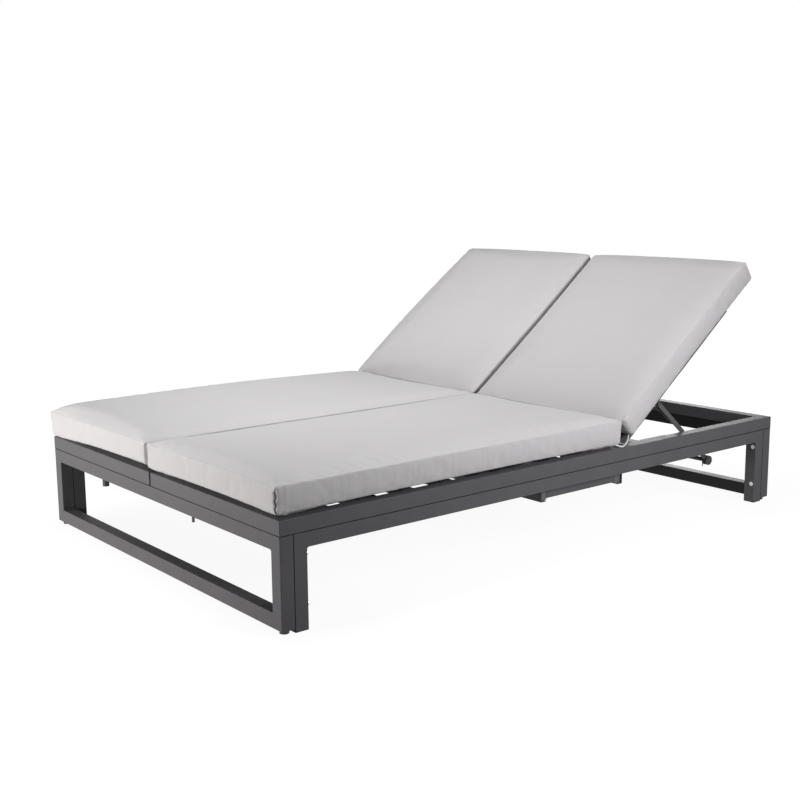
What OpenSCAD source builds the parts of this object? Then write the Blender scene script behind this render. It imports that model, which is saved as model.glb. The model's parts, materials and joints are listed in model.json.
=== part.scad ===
// Outdoor double daybed: a tube base on two loop legs, two slatted decks side by side,
// each with its own hinged backrest, U-shaped prop and toothed rack, box cushions,
// and a slim tray that slides out under each side rail.
// X is the width, Y runs from the foot end (-Y) to the head end (+Y), Z is up.
// The origin is on the floor under the middle of the frame. The backrests are half raised.

/* [Overall] */
// Length of the frame, foot end to head end
frame_length = 2000; // [1800:10:2200]
// Width of the frame over the two side rails
frame_width = 1320; // [1200:10:1500]
// Height of the base frame's top
base_height = 250; // [220:5:300]
// Dark gap between the two decks
deck_split = 8; // [4:1:16]

/* [Tube] */
// Outside size of the square frame tube
tube = 40; // [36:1:46]
// Wall of every tube
wall = 1.5; // [1.2:0.1:2.5]
// Outside corner radius of every tube
edge_r = 2; // [1.6:0.1:3]
// Width of the flat slat tube
slat_w = 40; // [30:1:60]
// Height of the flat slat tube
slat_h = 20; // [16:1:24]
// Distance between neighbouring slats, rear edge to rear edge
slat_pitch = 138; // [110:1:160]
// From the inside of the deck's front rail to the first slat's rear edge
slat_first = 133; // [100:1:140]

/* [Feet] */
// Height of the round glides under the loops
glide_h = 10; // [6:1:16]
// Radius of the round glides
glide_r = 12.5; // [10:0.5:16]
// Thickness of the cap plate under each side leg
cap_t = 3; // [2:0.5:5]
// How far a cap's plug reaches up inside the leg
cap_plug = 14; // [8:1:24]

/* [Hinge] */
// From the hinge axis to the head end of the frame
hinge_to_head = 730; // [700:5:780]
// From the hinge axis to the hinge rail in front of it
hinge_rail_gap = 20; // [18:1:26]
// Angle of the backrests above flat as photographed
rest_angle = 37.6; // [30:0.1:45]
// Radius of the hinge bolt
pivot_r = 5; // [4:0.25:6]
// Radius of the hinge washer
pivot_washer_r = 9; // [8:0.5:12]

/* [Backrest] */
// Side gap between the backrest frame and the deck's rails
back_side_gap = 4; // [3:0.5:6]
// Gap between a flat backrest's upper end and the deck's rear rail
back_end_gap = 45; // [20:1:80]
// How far the backrest's tubes reach below the hinge axis
back_tube_low = 16; // [12:1:16]
// How far the backrest frame reaches in front of the hinge axis
back_heel = 14; // [12:1:16]
// Number of slats across the backrest
back_slat_count = 4; // [3:1:4]
// From the hinge axis to the middle of the bar on which a flat backrest lies
rest_bar_run = 165; // [150:1:175]

/* [Prop] */
// Distance of the prop's upper pivot from the hinge axis, along the backrest
prop_u = 219; // [210:1:228]
// Depth of the prop's upper pivot below the hinge axis
prop_drop = 27; // [26:1:30]
// From the hinge axis to the prop's foot as photographed, along the frame
foot_run = 451; // [440:1:460]
// Height of the prop's foot bar
foot_z = 171; // [168:1:175]
// Width of the flat bar of the prop's arms
arm_w = 14; // [12:1:24]
// Thickness of the prop's arms
arm_t = 6; // [5:0.5:7]
// Radius of the rod through the prop's foot
rod_r = 4; // [3:0.25:5]
// Outside radius of the sleeve that rests in the rack
sleeve_r = 7; // [6:0.5:8]
// Radius of the round discs at the foot of each arm
disc_r = 15.5; // [11:0.5:18]

/* [Rack] */
// Distance of each rack rail from the middle of its deck
rack_offset = 100; // [60:5:140]
// Thickness of the rack rail
rack_t = 8; // [6:0.5:12]
// Height of the rack rail under the teeth
rack_h = 23; // [16:1:28]
// Distance between neighbouring teeth
tooth_pitch = 28; // [24:1:32]
// Depth of each notch
tooth_depth = 6; // [4:0.5:8]
// Number of notches
tooth_count = 9; // [7:1:9]

/* [Tray] */
// Length of the tray along the frame
tray_length = 296; // [260:2:320]
// Depth of the tray, in from the side rail
tray_depth = 360; // [300:5:380]
// From the middle of the tray to the hinge axis, along the frame
tray_run = 192; // [185:1:230]
// Height of the tray's frame
tray_h = 23; // [20:1:26]
// Height of the channels that carry the tray
runner_h = 35; // [30:1:38]
// Width of the channels that carry the tray
runner_w = 20; // [18:1:24]
// Wall of the channels
runner_wall = 2; // [1.5:0.1:3]

/* [Cushions] */
// From the frame's left side to the left cushions
cushion_left_inset = 0.5; // [0.5:0.5:20]
// From the frame's right side to the right cushions
cushion_right_inset = 15; // [2:1:30]
// Gap between the left and the right cushions
cushion_gap = 1.5; // [1:0.5:10]
// From the seat cushions' rear end to the hinge axis
seat_rear_gap = 33; // [30:1:50]
// From a flat back cushion's upper end to the head end of the frame
back_cushion_end_gap = 25; // [10:1:80]
// From the hinge axis to the back cushion's lower end as photographed
back_cushion_start = 46; // [44:1:60]
// Height of the cushions' sides between their two seams
cushion_t = 71; // [60:1:80]
// How far the cushions' faces crown above their sides
cushion_crown = 14; // [4:1:18]
// How far the seat cushions' sides stand above the slats, on their rounded undersides
seat_belly = 10; // [2:1:14]
// How far the back cushions' sides stand above the backrests
back_belly = 2; // [1:0.5:8]
// How far the cushions' sides draw in between the corners
cushion_draw = 5; // [2:1:8]

/* [Hidden] */

// Colours
CHARCOAL = [0.28, 0.28, 0.29];
STEEL = [0.75, 0.75, 0.76];
PLASTIC = [0.12, 0.12, 0.13];
LINEN = [0.80, 0.79, 0.77];

// Named clearances and facet counts
overrun = 1;
weld_gap = 0.1;
bore_gap = 0.05;
seat_gap = 0.3;
rest_gap = 0.4;
corner_steps = 3;
round_fn = 32;
hex = 6;

// Corner bolts of the loops: inset from the side rail's outer face, and gaps below the side
// rail and above the loop's bottom tube
bolt_inset = 10;
bolt_r = 3;
bolt_head_r = 7;
bolt_head_h = 4;
bolt_high_gap = 16;
bolt_low_gap = 15;
rivet_r = 4.5;
rivet_l = 14;

// Place of the front cross member as a share of the frame's length, from its middle
front_member_share = 0.3;

// Bolts that hold each deck down on the loops, one at each end of a deck. At the foot end the
// left deck's stands at its middle and the right deck's nearer the split, and at the head end
// both stand near the side rails
deck_bolt_r = 4;
foot_bolt_offset = 127;
head_bolt_run = 228;
deck_bolt_tip = 24;
deck_bolt_head_r = 7;
deck_bolt_head_h = 5;
deck_nut_r = 7.5;
deck_nut_h = 6.5;
deck_bolt_clear = 0.3;
knob_r = 10;
knob_skin = 2;

// Hinge bolts and washers
pivot_head_r = 8;
pivot_head_h = 3;
pivot_past = 12;

// Prop hardware, listed along the arm from its upper pivot
ear_t = 4;
ear_slot = 10;
ear_flat = 40;
ear_end = 100;
ear_seat = 12;
lug_t = 6;
pin_head_r = 7;
pin_head_h = 2.5;
arm_side_gap = 8;
disc_t = 5.7;
disc_gap = 0.3;
nut_t = 5.8;
foot_nut_r = 7;
cotter_r = 1.5;
cotter_inset = 8.5;
cotter_up = 8;
cotter_down = 24;
sleeve_inset = 13;
rod_past = 0.5;
rod_hole_gap = 0.1;

// Rack
tip_gap = 1.4;
rack_hanger_w = 30;
rack_tie_h = 12;
notches_ahead = 4;

// Tray
tray_tube_w = 20;
tray_drop = 5;
tray_inset = 20;
runner_inset = 15;
runner_side_gap = 7;
tray_panel_t = 4;
tray_panel_drop = 2;
slider_l = 40;
slider_end = 1;
slider_gap = 0.5;

// Cushions
cushion_corner_r = 22;
cushion_edge_r = 16;
cushion_front_gap = 1;
flat_gap = 2;
cushion_side_steps = 6;
// Places of the rings under a cushion, and how much of the sides' lift each has
belly_shares = [[0.7, 0], [0.85, 0.2]];
// Distance in which a cushion's face rolls up from its soft edge
crown_roll = 20;
// How far in from the edge the rings on a face lie, in rolls, and how much of the crown each has
crown_shares = [[0.5, 0.28], [1.3, 0.58], [2.8, 0.85], [5.5, 0.98]];
// Places of the ring points on a soft edge's arc, and their rise
soft_shares = [[1, 0], [0.3, 0.3], [0, 1]];

// Worked-out places
half_w = frame_width / 2;
half_l = frame_length / 2;
rail_z = base_height - tube;
deck_top = base_height + tube;
hinge_y = half_l - hinge_to_head;
hinge_z = deck_top - slat_h / 2;
leg_y = half_l - tube;
deck_in = deck_split / 2;
deck_w = half_w - deck_in;
deck_mid = deck_in + deck_w / 2;
inner_w = deck_w - 2 * tube;
bay_x = deck_in + tube;
foot_bolt_xs = [-deck_mid, deck_mid - foot_bolt_offset];
head_bolt_xs = [-deck_mid - head_bolt_run, deck_mid + head_bolt_run];
bolt_zs = [glide_h + tube + bolt_low_gap, rail_z - bolt_high_gap];
hinge_rail_y = hinge_y - hinge_rail_gap - tube;
slat_count = 1 + floor((hinge_rail_y + leg_y - slat_first) / slat_pitch);
rest_bar_y = hinge_y + rest_bar_run;
back_tube_h = slat_h / 2 + back_tube_low;
lug_r = prop_drop - back_tube_low;
rest_bar_h = tube - back_tube_h - rest_gap;
back_x = bay_x + back_side_gap;
back_w = inner_w - 2 * back_side_gap;
back_reach = leg_y - hinge_y - back_end_gap;
foot_y = hinge_y + foot_run;
rack_top = foot_z - sleeve_r - tip_gap;
prop_rest = [
    hinge_y + prop_u * cos(rest_angle) + prop_drop * sin(rest_angle),
    hinge_z + prop_u * sin(rest_angle) - prop_drop * cos(rest_angle)
];
prop_run = [foot_y - prop_rest[0], foot_z - prop_rest[1]];
prop_length = norm(prop_run);
prop_angle = atan2(prop_run[1], prop_run[0]);
arm_x = half_w - tube - arm_side_gap - arm_t;
ear_x = arm_x - ear_slot - ear_t;
rod_end = arm_x + arm_t + disc_gap + disc_t + rod_past;
nut_x = arm_x - disc_gap - disc_t - nut_t;
cotter_x = arm_x - disc_t - cotter_inset;
tray_y = hinge_y - tray_run;
tray_z = rail_z - tray_drop - tray_h;
tray_x = half_w - tray_inset - tray_depth;
tray_low_y = tray_y - tray_length / 2;
tray_high_y = tray_y + tray_length / 2;
runner_z = rail_z - runner_h;
cushion_w = (frame_width - cushion_left_inset - cushion_right_inset - cushion_gap) / 2;
left_cushion_x = cushion_left_inset + cushion_w / 2 - half_w;
right_cushion_x = half_w - cushion_right_inset - cushion_w / 2;
seat_cushion_l = hinge_y - seat_rear_gap + half_l - cushion_front_gap;
back_cushion_l = hinge_to_head + seat_rear_gap - flat_gap - back_cushion_end_gap;

// A rectangle with rounded corners, centred, as a list of points
function rounded(w, h, r) = [
    for (c = [0 : 3]) for (k = [0 : corner_steps])
        let (a = 90 * c + 90 * k / corner_steps,
             sx = (c == 0 || c == 3) ? 1 : -1,
             sy = (c < 2) ? 1 : -1)
        [sx * (w / 2 - r) + r * cos(a), sy * (h / 2 - r) + r * sin(a)]
];

// Puts a copy of the right-hand piece on the left
module on_left() { mirror([1, 0, 0]) children(); }

// The piece and its twin at the other side of the same deck
module both_arms() {
    children();
    translate([2 * deck_mid, 0, 0]) mirror([1, 0, 0]) children();
}

// Both ends of the frame, as mirrored twins
module both_ends() {
    children();
    mirror([0, 1, 0]) children();
}

// Both sides of the frame, as mirrored twins
module both_sides() {
    children();
    mirror([1, 0, 0]) children();
}

// Local frame of a backrest: X as the room, Y along the backrest, Z out of its face
module at_backrest() {
    translate([0, hinge_y, hinge_z]) rotate([rest_angle, 0, 0]) children();
}

// Local frame of a prop arm: Y from the upper pivot to the foot
module at_prop() {
    translate([0, prop_rest[0], prop_rest[1]]) rotate([prop_angle, 0, 0]) children();
}

// A round bar along X from x
module x_bar(x, len, r) {
    translate([x, 0, 0]) rotate([0, 90, 0]) cylinder(r = r, h = len, $fn = round_fn);
}

// A tube along +X with its corner at the origin, w wide in Y and h high in Z
module rail(len, w, h) {
    translate([0, w / 2, h / 2]) rotate([90, 0, 90]) linear_extrude(len) difference() {
        polygon(rounded(w, h, edge_r));
        square([w - 2 * wall, h - 2 * wall], center = true);
    }
}

// The same tube with mitred ends: its full length lies along Y = 0
module mitred_rail(len, w, h, first = true, last = true) {
    intersection() {
        rail(len, w, h);
        translate([0, 0, -overrun]) linear_extrude(h + 2 * overrun) polygon([
            [first ? weld_gap - overrun : 0, -overrun],
            [last ? len - weld_gap + overrun : len, -overrun],
            [last ? len - weld_gap - w - overrun : len, w + overrun],
            [first ? weld_gap + w + overrun : 0, w + overrun]
        ]);
    }
}

// A rectangle of four mitred tubes in the XY plane
module rect_frame(lx, ly, w, h) {
    mitred_rail(lx, w, h);
    translate([lx, 0, 0]) rotate(90) mitred_rail(ly, w, h);
    translate([lx, ly, 0]) rotate(180) mitred_rail(lx, w, h);
    translate([0, ly, 0]) rotate(270) mitred_rail(ly, w, h);
}

// Base

// Round holes through the tubes at a frame corner, for the corner bolts
module corner_holes(r, y, len) {
    for (z = bolt_zs)
        translate([half_w - bolt_inset, y, z]) rotate([-90, 0, 0])
            cylinder(r = r, h = len, $fn = round_fn);
}

// The places of the bolts that hold the decks, at the foot end and at the head end
module at_deck_bolts() {
    for (x = foot_bolt_xs) translate([x, tube / 2 - half_l, 0]) children();
    for (x = head_bolt_xs) translate([x, half_l - tube / 2, 0]) children();
}

// Holes for those bolts, through whatever stands at both ends
module deck_bolt_holes(z, len) {
    at_deck_bolts() translate([0, 0, z])
        cylinder(r = deck_bolt_r + deck_bolt_clear, h = len, $fn = round_fn);
}

module loop() {
    difference() {
        translate([-half_w, -leg_y, glide_h]) rotate([90, 0, 0])
            rect_frame(frame_width, base_height - glide_h, tube, tube);
        both_sides() mirror([0, 1, 0])
            corner_holes(rivet_r + bore_gap, leg_y - overrun, wall + 2 * overrun);
    }
}

module front_loop() {
    color(CHARCOAL) difference() {
        loop();
        deck_bolt_holes(rail_z - overrun, tube + 2 * overrun);
    }
}

module rear_loop() {
    color(CHARCOAL) difference() {
        mirror([0, 1, 0]) loop();
        deck_bolt_holes(rail_z - overrun, tube + 2 * overrun);
    }
}

module side_frame() {
    color(CHARCOAL) difference() {
        translate([half_w - tube, -leg_y, 0]) rotate([90, 0, 90]) {
            translate([2 * leg_y, base_height, 0]) rotate(180) mitred_rail(2 * leg_y, tube, tube);
            translate([0, base_height, 0]) rotate(270)
                mitred_rail(base_height - cap_t, tube, tube, last = false);
            translate([2 * leg_y, cap_t, 0]) rotate(90)
                mitred_rail(base_height - cap_t, tube, tube, first = false);
        }
        both_ends() corner_holes(bolt_r + bore_gap, leg_y - tube - overrun, tube + 2 * overrun);
    }
}

module side_frame_right() { side_frame(); }

module side_frame_left() { on_left() side_frame(); }

// A square tube between the two side rails
module cross_member(y) {
    color(CHARCOAL) translate([tube - half_w, y - tube / 2, rail_z])
        rail(frame_width - 2 * tube, tube, tube);
}

module cross_member_front() { cross_member(-frame_length * front_member_share); }

module cross_member_middle() { cross_member(rest_bar_y); }

module glides() {
    color(PLASTIC) both_ends() both_sides()
        translate([half_w - tube / 2, half_l - tube / 2, 0])
            cylinder(r = glide_r, h = glide_h, $fn = round_fn);
}

module leg_caps() {
    plug = tube - 2 * wall - 2 * bore_gap;
    color(PLASTIC) both_ends() both_sides()
        translate([half_w - tube / 2, leg_y - tube / 2, 0]) {
            linear_extrude(cap_t) polygon(rounded(tube, tube, edge_r));
            translate([-plug / 2, -plug / 2, 0]) cube([plug, plug, cap_t + cap_plug]);
        }
}

module corner_bolts() {
    reach = tube + wall + rivet_l / 2;
    color(STEEL) both_ends() both_sides() for (z = bolt_zs)
        translate([half_w - bolt_inset, leg_y - tube, z]) rotate([-90, 0, 0]) {
            cylinder(r = bolt_r, h = reach, $fn = round_fn);
            difference() {
                translate([0, 0, -bolt_head_h])
                    cylinder(r = bolt_head_r, h = bolt_head_h, $fn = round_fn);
                translate([0, 0, -bolt_head_h - overrun])
                    cylinder(r = bolt_r, h = overrun + bolt_head_h / 2, $fn = hex);
            }
        }
}

module rivet_nuts() {
    color(STEEL) both_ends() both_sides() for (z = bolt_zs)
        translate([half_w - bolt_inset, leg_y, z]) rotate([-90, 0, 0]) difference() {
            cylinder(r = rivet_r, h = rivet_l, $fn = round_fn);
            translate([0, 0, -overrun])
                cylinder(r = bolt_r + bore_gap, h = rivet_l + 2 * overrun, $fn = round_fn);
        }
}

module deck_bolts() {
    top = base_height + wall;
    color(STEEL) at_deck_bolts() {
        translate([0, 0, rail_z - deck_bolt_tip])
            cylinder(r = deck_bolt_r, h = top - rail_z + deck_bolt_tip, $fn = round_fn);
        translate([0, 0, top])
            cylinder(r = deck_bolt_head_r, h = deck_bolt_head_h, $fn = round_fn);
    }
}

module deck_nuts() {
    color(STEEL) at_deck_bolts() translate([0, 0, rail_z - deck_nut_h]) difference() {
        cylinder(r = deck_nut_r, h = deck_nut_h, $fn = hex);
        translate([0, 0, -overrun])
            cylinder(r = deck_bolt_r + bore_gap, h = deck_nut_h + 2 * overrun, $fn = round_fn);
    }
}

// Round hand nut on the foot-end bolt of the left deck
module deck_knob() {
    knob_h = deck_bolt_tip - deck_nut_h + knob_skin;
    color(PLASTIC) translate([foot_bolt_xs[0], tube / 2 - half_l, rail_z - deck_nut_h - knob_h])
        difference() {
            cylinder(r = knob_r, h = knob_h, $fn = round_fn);
            translate([0, 0, knob_skin - bore_gap])
                cylinder(r = deck_bolt_r + bore_gap, h = knob_h, $fn = round_fn);
        }
}

// Decks

// Bores for the hinge bolts in the inner walls of a deck's two long rails
module pivot_holes() {
    both_arms() translate([0, hinge_y, hinge_z])
        x_bar(half_w - tube - overrun, wall + 2 * overrun, pivot_r + bore_gap);
}

module deck_frame() {
    translate([deck_in, -half_l, base_height])
        rect_frame(deck_w, frame_length, tube, tube);
}

module deck_frame_right() {
    color(CHARCOAL) difference() {
        deck_frame();
        pivot_holes();
        deck_bolt_holes(base_height - overrun, wall + 2 * overrun);
    }
}

module deck_frame_left() {
    color(CHARCOAL) difference() {
        on_left() deck_frame();
        on_left() pivot_holes();
        deck_bolt_holes(base_height - overrun, wall + 2 * overrun);
    }
}

module seat_slats() {
    color(CHARCOAL) for (k = [0 : slat_count - 1])
        translate([bay_x, slat_first - leg_y + k * slat_pitch - slat_w, deck_top - slat_h])
            rail(inner_w, slat_w, slat_h);
}

module seat_slats_right() { seat_slats(); }

module seat_slats_left() { on_left() seat_slats(); }

module hinge_rail() {
    color(CHARCOAL) translate([bay_x, hinge_rail_y, base_height]) rail(inner_w, tube, tube);
}

module hinge_rail_right() { hinge_rail(); }

module hinge_rail_left() { on_left() hinge_rail(); }

module rest_bar() {
    color(CHARCOAL) translate([bay_x, rest_bar_y - tube / 2, base_height])
        rail(inner_w, tube, rest_bar_h);
}

module rest_bar_right() { rest_bar(); }

module rest_bar_left() { on_left() rest_bar(); }

module pivot_bolts() {
    start = half_w - tube - back_side_gap - tube;
    color(STEEL) both_arms() translate([0, hinge_y, hinge_z]) {
        x_bar(start, half_w - tube + pivot_past - start, pivot_r);
        x_bar(start - pivot_head_h, pivot_head_h, pivot_head_r);
    }
}

module pivot_bolts_right() { pivot_bolts(); }

module pivot_bolts_left() { on_left() pivot_bolts(); }

module pivot_washers() {
    color(PLASTIC) both_arms() translate([0, hinge_y, hinge_z]) difference() {
        x_bar(half_w - tube - back_side_gap + weld_gap, back_side_gap - 2 * weld_gap, pivot_washer_r);
        x_bar(half_w - tube - back_side_gap, back_side_gap, pivot_r + bore_gap);
    }
}

module pivot_washers_right() { pivot_washers(); }

module pivot_washers_left() { on_left() pivot_washers(); }

// Rack

// Side outline of a toothed rail from its front end to its rear end
function rack_outline(y0, y1, y_first) = concat(
    [[y0, 0], [y1, 0], [y1, rack_h]],
    [for (k = [tooth_count - 1 : -1 : 0]) for (p = [1, 0, -1])
        [y_first + k * tooth_pitch + p * tooth_depth, rack_h - (p == 0 ? tooth_depth : 0)]],
    [[y0, rack_h]]
);

// Two toothed rails, each hung from the middle cross member, and a tie across their rear ends
// that hangs from the rear loop beside the outer rail
module rack() {
    front_y = rest_bar_y - rack_hanger_w / 2;
    tie_y = half_l - (tube + rack_t) / 2;
    inner_x = deck_mid - rack_offset - rack_t / 2;
    outer_x = deck_mid + rack_offset + rack_t / 2;
    low_z = rack_top - rack_h;
    first_notch = foot_y - notches_ahead * tooth_pitch;
    color(CHARCOAL) {
        for (x = [inner_x, outer_x - rack_t]) {
            translate([x, 0, low_z]) rotate([90, 0, 90]) linear_extrude(rack_t)
                polygon(rack_outline(front_y, tie_y - weld_gap, first_notch));
            translate([x, front_y, rack_top + weld_gap])
                cube([rack_t, rack_hanger_w, rail_z - rack_top - 2 * weld_gap]);
        }
        translate([inner_x, tie_y, low_z]) cube([outer_x - inner_x, rack_t, rack_tie_h]);
        translate([outer_x - rack_hanger_w, tie_y, low_z + rack_tie_h + weld_gap])
            cube([rack_hanger_w, rack_t, rail_z - low_z - rack_tie_h - 2 * weld_gap]);
    }
}

module rack_right() { rack(); }

module rack_left() { on_left() rack(); }

// Trays

// A channel under both side rails, open towards the trays, with its back at Y = 0
module runner() {
    len = frame_width - 2 * runner_inset;
    translate([-len / 2, 0, 0]) difference() {
        cube([len, runner_w, runner_h]);
        translate([-overrun, runner_wall, runner_wall])
            cube([len + 2 * overrun, runner_w, runner_h - 2 * runner_wall]);
    }
}

module tray_runners() {
    reach = runner_side_gap + runner_w;
    color(CHARCOAL) {
        translate([0, tray_low_y - reach, runner_z]) runner();
        translate([0, tray_high_y + reach, runner_z]) mirror([0, 1, 0]) runner();
    }
}

module tray_frame() {
    color(CHARCOAL) translate([tray_x, tray_low_y, tray_z])
        rect_frame(tray_depth, tray_length, tray_tube_w, tray_h);
}

module tray_frame_right() { tray_frame(); }

module tray_frame_left() { on_left() tray_frame(); }

module tray_panel() {
    inset = tray_tube_w + weld_gap;
    color(CHARCOAL)
        translate([tray_x + inset, tray_low_y + inset, tray_z + tray_h - tray_panel_drop - tray_panel_t])
            cube([tray_depth - 2 * inset, tray_length - 2 * inset, tray_panel_t]);
}

module tray_panel_right() { tray_panel(); }

module tray_panel_left() { on_left() tray_panel(); }

module tray_sliders() {
    block_w = runner_side_gap + runner_w - runner_wall - slider_gap - weld_gap;
    block_h = runner_h - 2 * runner_wall - 2 * slider_gap;
    color(PLASTIC) for (x = [tray_x + slider_end, tray_x + tray_depth - slider_end - slider_l])
        for (y = [tray_low_y - weld_gap - block_w, tray_high_y + weld_gap])
            translate([x, y, runner_z + runner_wall + slider_gap]) cube([slider_l, block_w, block_h]);
}

module tray_sliders_right() { tray_sliders(); }

module tray_sliders_left() { on_left() tray_sliders(); }

// Backrests

module backrest_frame() {
    color(CHARCOAL) at_backrest() difference() {
        translate([back_x, -back_heel, -back_tube_low])
            rect_frame(back_w, back_reach + back_heel, tube, back_tube_h);
        both_arms() x_bar(half_w - 2 * tube - back_side_gap - overrun, tube + 2 * overrun,
                          pivot_r + bore_gap);
    }
}

module backrest_frame_right() { backrest_frame(); }

module backrest_frame_left() { on_left() backrest_frame(); }

// Slats at equal gaps between the backrest frame's lower and upper rails
module backrest_slats() {
    low = tube - back_heel;
    bay = back_reach - tube - low;
    gap = (bay - back_slat_count * slat_w) / (back_slat_count + 1);
    color(CHARCOAL) at_backrest() for (k = [0 : back_slat_count - 1])
        translate([back_x + tube, low + gap + k * (gap + slat_w), -slat_h / 2])
            rail(back_w - 2 * tube, slat_w, slat_h);
}

module backrest_slats_right() { backrest_slats(); }

module backrest_slats_left() { on_left() backrest_slats(); }

module prop_lugs() {
    lug_x = arm_x - (ear_slot + lug_t) / 2;
    color(CHARCOAL) at_backrest() both_arms() translate([0, prop_u, -prop_drop]) difference() {
        union() {
            x_bar(lug_x, lug_t, lug_r);
            translate([lug_x, -lug_r, 0]) cube([lug_t, 2 * lug_r, prop_drop - back_tube_low]);
        }
        x_bar(lug_x - overrun, lug_t + 2 * overrun, rod_r + bore_gap);
    }
}

module prop_lugs_right() { prop_lugs(); }

module prop_lugs_left() { on_left() prop_lugs(); }

// Flat arm with round ends and a cranked ear that forms the upper fork
module prop_arms() {
    color(CHARCOAL) at_prop() both_arms() difference() {
        union() {
            x_bar(arm_x, arm_t, arm_w / 2);
            translate([0, prop_length, 0]) x_bar(arm_x, arm_t, arm_w / 2);
            translate([arm_x, 0, -arm_w / 2]) cube([arm_t, prop_length, arm_w]);
            translate([0, 0, -arm_w / 2]) linear_extrude(arm_w) polygon([
                [ear_x, -arm_w / 2],
                [ear_x, ear_flat],
                [arm_x - ear_t, ear_end],
                [arm_x - ear_t, ear_end + ear_seat],
                [arm_x + arm_t / 2, ear_end + ear_seat],
                [arm_x + arm_t / 2, ear_end],
                [arm_x, ear_end],
                [ear_x + ear_t, ear_flat],
                [ear_x + ear_t, -arm_w / 2]
            ]);
        }
        x_bar(ear_x - overrun, ear_t + ear_slot + arm_t + 2 * overrun, rod_r + bore_gap);
        translate([0, prop_length, 0])
            x_bar(arm_x - overrun, arm_t + 2 * overrun, rod_r + bore_gap);
    }
}

module prop_arms_right() { prop_arms(); }

module prop_arms_left() { on_left() prop_arms(); }

module prop_pins() {
    span = ear_t + ear_slot + arm_t;
    color(STEEL) at_prop() both_arms() {
        x_bar(ear_x - pin_head_h, span + 2 * pin_head_h, rod_r);
        x_bar(ear_x - pin_head_h, pin_head_h, pin_head_r);
        x_bar(ear_x + span, pin_head_h, pin_head_r);
    }
}

module prop_pins_right() { prop_pins(); }

module prop_pins_left() { on_left() prop_pins(); }

// Everything at the foot stands on this axis
module at_foot() { translate([0, foot_y, foot_z]) children(); }

module prop_rod() {
    color(STEEL) difference() {
        at_foot() x_bar(2 * deck_mid - rod_end, 2 * (rod_end - deck_mid), rod_r);
        both_arms() at_foot() translate([cotter_x, 0, -cotter_down])
            cylinder(r = cotter_r + bore_gap, h = cotter_down + cotter_up, $fn = round_fn);
    }
}

module prop_rod_right() { prop_rod(); }

module prop_rod_left() { on_left() prop_rod(); }

module prop_sleeve() {
    len = 2 * (arm_x - disc_t - sleeve_inset - deck_mid);
    color(PLASTIC) at_foot() difference() {
        x_bar(deck_mid - len / 2, len, sleeve_r);
        x_bar(deck_mid - len / 2 - overrun, len + 2 * overrun, rod_r + rod_hole_gap);
    }
}

module prop_sleeve_right() { prop_sleeve(); }

module prop_sleeve_left() { on_left() prop_sleeve(); }

module prop_discs() {
    color(PLASTIC) both_arms() at_foot()
        for (x = [arm_x - disc_gap - disc_t, arm_x + arm_t + disc_gap]) difference() {
            x_bar(x, disc_t, disc_r);
            x_bar(x - overrun, disc_t + 2 * overrun, rod_r + bore_gap);
        }
}

module prop_discs_right() { prop_discs(); }

module prop_discs_left() { on_left() prop_discs(); }

module prop_nuts() {
    color(STEEL) both_arms() at_foot() difference() {
        translate([nut_x, 0, 0]) rotate([0, 90, 0]) cylinder(r = foot_nut_r, h = nut_t, $fn = hex);
        x_bar(nut_x - overrun, nut_t + 2 * overrun, rod_r + bore_gap);
    }
}

module prop_nuts_right() { prop_nuts(); }

module prop_nuts_left() { on_left() prop_nuts(); }

module cotter_pins() {
    color(STEEL) both_arms() at_foot()
        translate([cotter_x, 0, -cotter_down])
            cylinder(r = cotter_r, h = cotter_down + cotter_up, $fn = round_fn);
}

module cotter_pins_right() { cotter_pins(); }

module cotter_pins_left() { on_left() cotter_pins(); }

// Cushions

// One closed ring round a cushion: straight runs drawn in at their middle, round corners
function cushion_ring(hx, hy, r, draw, z) = [
    for (q = [0 : 3])
        let (a = q % 2 == 0 ? hx : hy, b = q % 2 == 0 ? hy : hx)
        for (k = [0 : cushion_side_steps + corner_steps - 1])
            let (s = min(k / cushion_side_steps, 1),
                 t = 90 * max(k - cushion_side_steps, 0) / corner_steps,
                 x = a - r + r * cos(t) - 4 * draw * s * (1 - s),
                 y = (b - r) * (2 * s - 1) + r * sin(t),
                 w = 90 * q)
            [x * cos(w) - y * sin(w), x * sin(w) + y * cos(w), z]
];

// A box cushion with its bottom at Z = 0: rounded underside, soft edges, crowned top and
// sides drawn in, the sides starting at the height of belly
module cushion(w, l, belly) {
    hx = w / 2;
    hy = l / 2;
    r = cushion_corner_r;
    e = cushion_edge_r;
    d = cushion_draw;
    brim = belly + cushion_t;
    rings = concat(
        [for (p = belly_shares) cushion_ring(hx * p[0], hy * p[0], r, d * p[0], belly * p[1])],
        [for (p = soft_shares) cushion_ring(hx - e * p[0], hy - e * p[0], r, d, belly + e * p[1])],
        [for (p = [2 : -1 : 0]) let (q = soft_shares[p])
            cushion_ring(hx - e * q[0], hy - e * q[0], r, d, brim - e * q[1])],
        [for (p = crown_shares) let (i = e + crown_roll * p[0])
            cushion_ring(hx - i, hy - i, r, d * (1 - i / hx), brim + cushion_crown * p[1])]
    );
    n = len(rings[0]);
    m = len(rings);
    points = concat([for (g = rings) each g], [[0, 0, 0], [0, 0, brim + cushion_crown]]);
    faces = concat(
        [for (i = [0 : m - 2]) for (j = [0 : n - 1]) let (k = (j + 1) % n)
            [i * n + j, (i + 1) * n + j, (i + 1) * n + k]],
        [for (i = [0 : m - 2]) for (j = [0 : n - 1]) let (k = (j + 1) % n)
            [i * n + j, (i + 1) * n + k, i * n + k]],
        [for (j = [0 : n - 1]) [n * m, j, (j + 1) % n]],
        [for (j = [0 : n - 1]) [n * m + 1, (m - 1) * n + (j + 1) % n, (m - 1) * n + j]]
    );
    polyhedron(points, faces);
}

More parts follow.
